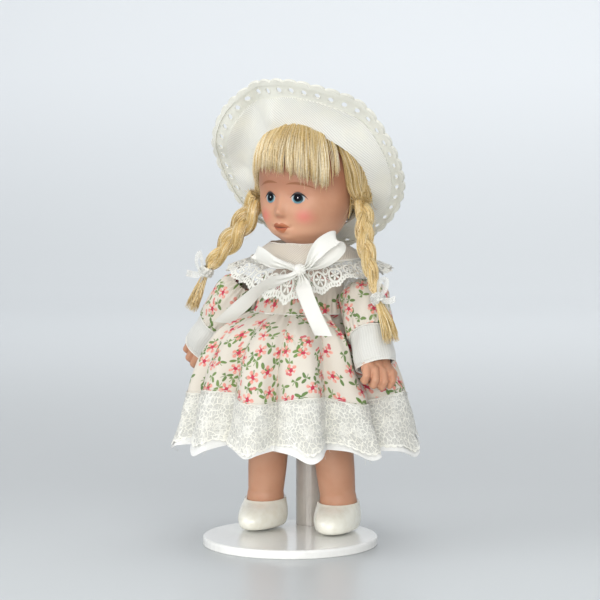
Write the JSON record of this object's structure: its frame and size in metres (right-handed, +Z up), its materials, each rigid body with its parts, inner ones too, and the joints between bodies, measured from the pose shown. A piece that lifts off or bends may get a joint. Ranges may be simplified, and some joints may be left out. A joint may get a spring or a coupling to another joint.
{
  "type": "porcelain doll",
  "caption": "Small porcelain child doll with plaited hair, sun hat and lace-trimmed dress, held at the waist by a disc stand; head, arms, legs, plaits and hat move.",
  "frame": {"origin": "centre of the stand's flat underside", "axes": "+Z up along the stand's post and the doll; the doll faces -Y and its left side is +X"},
  "size_m": [0.0914, 0.0854, 0.1646],
  "materials": {
    "stand_base": "white gloss",
    "stand_post": "white gloss",
    "stand_rod": "white gloss",
    "waist_clip": "white gloss",
    "torso": "stuffed cotton",
    "shoulder_plate": "matte bisque, skin tone",
    "neck_peg": "plain turned wood",
    "dress_bodice": "printed cotton",
    "dress_skirt": "printed cotton",
    "hem_lace": "cream lace",
    "skirt_lining": "white cotton",
    "yoke": "off-white twill",
    "lace_collar": "white lace",
    "bow_knot": "white satin ribbon",
    "bow_loop_left": "white satin ribbon",
    "bow_loop_right": "white satin ribbon",
    "bow_tail_left": "white satin ribbon",
    "bow_tail_right": "white satin ribbon",
    "head": "matte painted bisque",
    "wig": "blonde synthetic hair",
    "hat_brim": "off-white twill",
    "hat_crown": "off-white twill",
    "braid_left": "blonde synthetic hair",
    "braid_tie_left": "white lace tape",
    "braid_right": "blonde synthetic hair",
    "braid_tie_right": "white lace tape",
    "sleeve_left": "printed cotton",
    "undersleeve_left": "white cotton",
    "upper_arm_left": "stuffed cotton",
    "forearm_left": "matte bisque, skin tone",
    "sleeve_right": "printed cotton",
    "undersleeve_right": "white cotton",
    "upper_arm_right": "stuffed cotton",
    "forearm_right": "matte bisque, skin tone",
    "upper_leg_left": "stuffed cotton",
    "lower_leg_left": "bisque with glossy cream painted shoes",
    "upper_leg_right": "stuffed cotton",
    "lower_leg_right": "bisque with glossy cream painted shoes"
  },
  "bodies": {
    "stand": {"stand_base": "stand_base", "stand_post": "stand_post"},
    "doll": {"stand_rod": "stand_rod", "waist_clip": "waist_clip", "torso": "torso", "shoulder_plate": "shoulder_plate", "neck_peg": "neck_peg", "dress_bodice": "dress_bodice", "dress_skirt": "dress_skirt", "hem_lace": "hem_lace", "skirt_lining": "skirt_lining", "yoke": "yoke", "lace_collar": "lace_collar", "bow_knot": "bow_knot", "bow_loop_left": "bow_loop_left", "bow_loop_right": "bow_loop_right", "bow_tail_left": "bow_tail_left", "bow_tail_right": "bow_tail_right"},
    "head": {"head": "head", "wig": "wig"},
    "hat": {"hat_brim": "hat_brim", "hat_crown": "hat_crown"},
    "braid_left": {"braid_left": "braid_left", "braid_tie_left": "braid_tie_left"},
    "braid_right": {"braid_right": "braid_right", "braid_tie_right": "braid_tie_right"},
    "arm_left": {"sleeve_left": "sleeve_left", "undersleeve_left": "undersleeve_left", "upper_arm_left": "upper_arm_left", "forearm_left": "forearm_left"},
    "arm_right": {"sleeve_right": "sleeve_right", "undersleeve_right": "undersleeve_right", "upper_arm_right": "upper_arm_right", "forearm_right": "forearm_right"},
    "leg_left": {"upper_leg_left": "upper_leg_left", "lower_leg_left": "lower_leg_left"},
    "leg_right": {"upper_leg_right": "upper_leg_right", "lower_leg_right": "lower_leg_right"}
  },
  "joints": [
    {"name": "stand_height", "type": "slide", "parent": "stand", "child": "doll", "axis": [0, 0, 1], "range_m": [0, 0.015]},
    {"name": "neck_turn", "type": "hinge", "parent": "doll", "child": "head", "pos_m": [0.0005, 0.016, 0.101], "axis": [0, 0, 1], "range_deg": [-20, 30]},
    {"name": "hat_lift", "type": "slide", "parent": "head", "child": "hat", "axis": [0.0803, 0.8332, 0.5471], "range_m": [0, 0.05]},
    {"name": "braid_left_swing", "type": "hinge", "parent": "head", "child": "braid_left", "pos_m": [0.0215, 0.0115, 0.12], "axis": [0, -1, 0], "range_deg": [0, 35]},
    {"name": "braid_right_swing", "type": "hinge", "parent": "head", "child": "braid_right", "pos_m": [-0.0185, 0.017, 0.1205], "axis": [0, 1, 0], "range_deg": [0, 30]},
    {"name": "arm_left_swing", "type": "hinge", "parent": "doll", "child": "arm_left", "pos_m": [0.0242, 0.01, 0.0882], "axis": [-0.8944, -0.4472, 0], "range_deg": [0, 30], "deforming": ["braid_left", "braid_tie_left"]},
    {"name": "arm_right_swing", "type": "hinge", "parent": "doll", "child": "arm_right", "pos_m": [-0.0226, 0.0136, 0.0886], "axis": [-0.8944, 0.4472, 0], "range_deg": [0, 30], "deforming": ["braid_right", "braid_tie_right"]},
    {"name": "leg_left_swing", "type": "hinge", "parent": "doll", "child": "leg_left", "pos_m": [0.0095, 0.0105, 0.064], "axis": [-1, 0, 0], "range_deg": [0, 28]},
    {"name": "leg_right_swing", "type": "hinge", "parent": "doll", "child": "leg_right", "pos_m": [-0.0095, 0.0105, 0.064], "axis": [-1, 0, 0], "range_deg": [0, 28]}
  ]
}
